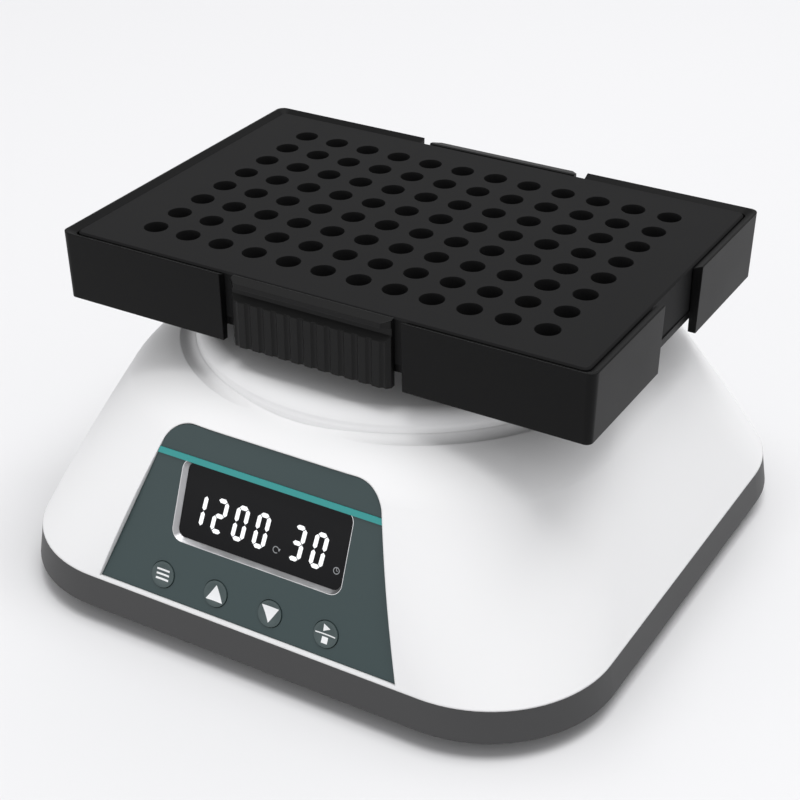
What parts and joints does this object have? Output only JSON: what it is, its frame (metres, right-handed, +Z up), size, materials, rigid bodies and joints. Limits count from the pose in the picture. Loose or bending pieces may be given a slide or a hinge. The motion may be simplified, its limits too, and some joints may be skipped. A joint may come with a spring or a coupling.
{
  "type": "microplate shaker",
  "caption": "Bench shaker whose domed base carries a spring-clipped tray and well block on an eccentric drive that moves them in a small level circle.",
  "frame": {"origin": "on the bench under the drive axis, in the middle of the base's footprint", "axes": "+Z up along the drive axis, -Y out of the front with the control panel, +X to the operator's right"},
  "size_m": [0.1494, 0.1494, 0.0829],
  "materials": {
    "pan": "fine matte",
    "cover": "satin",
    "panel": "fine matte film",
    "key": "satin",
    "stripe": "satin",
    "window": "gloss",
    "bezel": "satin",
    "black_plastic": "satin",
    "rubber": "matte",
    "steel": "satin",
    "aluminium": "machined",
    "motor": "satin",
    "bronze": "satin",
    "board": "satin",
    "tray": "fine matte powder coat",
    "clip": "satin",
    "block": "black anodised, fine matte"
  },
  "bodies": {
    "base": {"base_pan": "pan", "feet": "rubber", "base_screws": "steel", "dome_cover": "cover", "power_board": "board", "dc_inlet": "black_plastic", "inlet_nut": "steel", "switch_frame": "black_plastic", "motor_deck": "aluminium", "deck_screws": "steel", "drive_motor": "motor", "motor_screws": "steel", "deck_bushes": "bronze", "control_board": "board", "board_screws": "steel", "display_module": "black_plastic", "display_window": "window", "display_bezel": "bezel", "control_panel": "panel", "accent_stripe": "stripe"},
    "power_rocker": {"switch_rocker": "black_plastic"},
    "menu_key": {"key_menu": "key"},
    "up_key": {"key_up": "key"},
    "down_key": {"key_down": "key"},
    "start_key": {"key_start": "key"},
    "crank": {"motor_shaft": "steel", "crank_hub": "aluminium", "counterweight": "bronze", "crank_screw": "steel"},
    "idler_crank_1": {"idler_1": "aluminium"},
    "idler_crank_2": {"idler_2": "aluminium"},
    "idler_crank_3": {"idler_3": "aluminium"},
    "platform": {"carrier": "aluminium", "drive_bearing": "steel", "carrier_bushes": "bronze", "platform_plate": "tray", "platform_screws": "steel", "plate_tray": "tray", "tray_screws": "steel", "clip_guides": "clip", "guide_screws": "steel", "clip_spring_front": "steel", "clip_spring_back": "steel"},
    "front_clip": {"clip_front": "clip", "clip_tongue_front": "clip"},
    "back_clip": {"clip_back": "clip", "clip_tongue_back": "clip"},
    "block": {"well_block": "block"}
  },
  "joints": [
    {"name": "crank_spin", "type": "hinge", "parent": "base", "child": "crank", "pos_m": [0, 0, 0.045], "axis": [0, 0, 1], "continuous": true},
    {"name": "platform_turn", "type": "hinge", "parent": "crank", "child": "platform", "pos_m": [0.00112, -0.00195, 0.05], "axis": [0, 0, 1], "continuous": true},
    {"name": "idler_1_spin", "type": "hinge", "parent": "base", "child": "idler_crank_1", "pos_m": [0, 0.036, 0.04], "axis": [0, 0, 1], "continuous": true},
    {"name": "idler_2_spin", "type": "hinge", "parent": "base", "child": "idler_crank_2", "pos_m": [-0.03118, -0.018, 0.04], "axis": [0, 0, 1], "continuous": true},
    {"name": "idler_3_spin", "type": "hinge", "parent": "base", "child": "idler_crank_3", "pos_m": [0.03118, -0.018, 0.04], "axis": [0, 0, 1], "continuous": true},
    {"name": "front_clip_pull", "type": "slide", "parent": "platform", "child": "front_clip", "axis": [0, -1, 0], "range_m": [0, 0.003], "stiffness_N_per_m": 400, "springref_m": -0.003, "deforming": ["clip_spring_front"]},
    {"name": "back_clip_pull", "type": "slide", "parent": "platform", "child": "back_clip", "axis": [0, 1, 0], "range_m": [0, 0.003], "stiffness_N_per_m": 400, "springref_m": -0.003, "deforming": ["clip_spring_back"]},
    {"name": "block_lift", "type": "slide", "parent": "platform", "child": "block", "axis": [0, 0, 1], "range_m": [0, 0.02]},
    {"name": "menu_key_press", "type": "slide", "parent": "base", "child": "menu_key", "axis": [0, 0.9328, -0.3604], "range_m": [0, 0.0006], "stiffness_N_per_m": 600, "springref_m": -0.0005},
    {"name": "up_key_press", "type": "slide", "parent": "base", "child": "up_key", "axis": [0, 0.9328, -0.3604], "range_m": [0, 0.0006], "stiffness_N_per_m": 600, "springref_m": -0.0005},
    {"name": "down_key_press", "type": "slide", "parent": "base", "child": "down_key", "axis": [0, 0.9328, -0.3604], "range_m": [0, 0.0006], "stiffness_N_per_m": 600, "springref_m": -0.0005},
    {"name": "start_key_press", "type": "slide", "parent": "base", "child": "start_key", "axis": [0, 0.9328, -0.3604], "range_m": [0, 0.0006], "stiffness_N_per_m": 600, "springref_m": -0.0005},
    {"name": "rocker_tilt", "type": "hinge", "parent": "base", "child": "power_rocker", "pos_m": [-0.013, 0.063, 0.02425], "axis": [0, 0, 1], "range_deg": [-16, 0]}
  ],
  "couplings": [
    {"joint": "platform_turn", "follows": "crank_spin", "ratio": -1},
    {"joint": "idler_1_spin", "follows": "crank_spin", "ratio": 1},
    {"joint": "idler_2_spin", "follows": "crank_spin", "ratio": 1},
    {"joint": "idler_3_spin", "follows": "crank_spin", "ratio": 1}
  ]
}
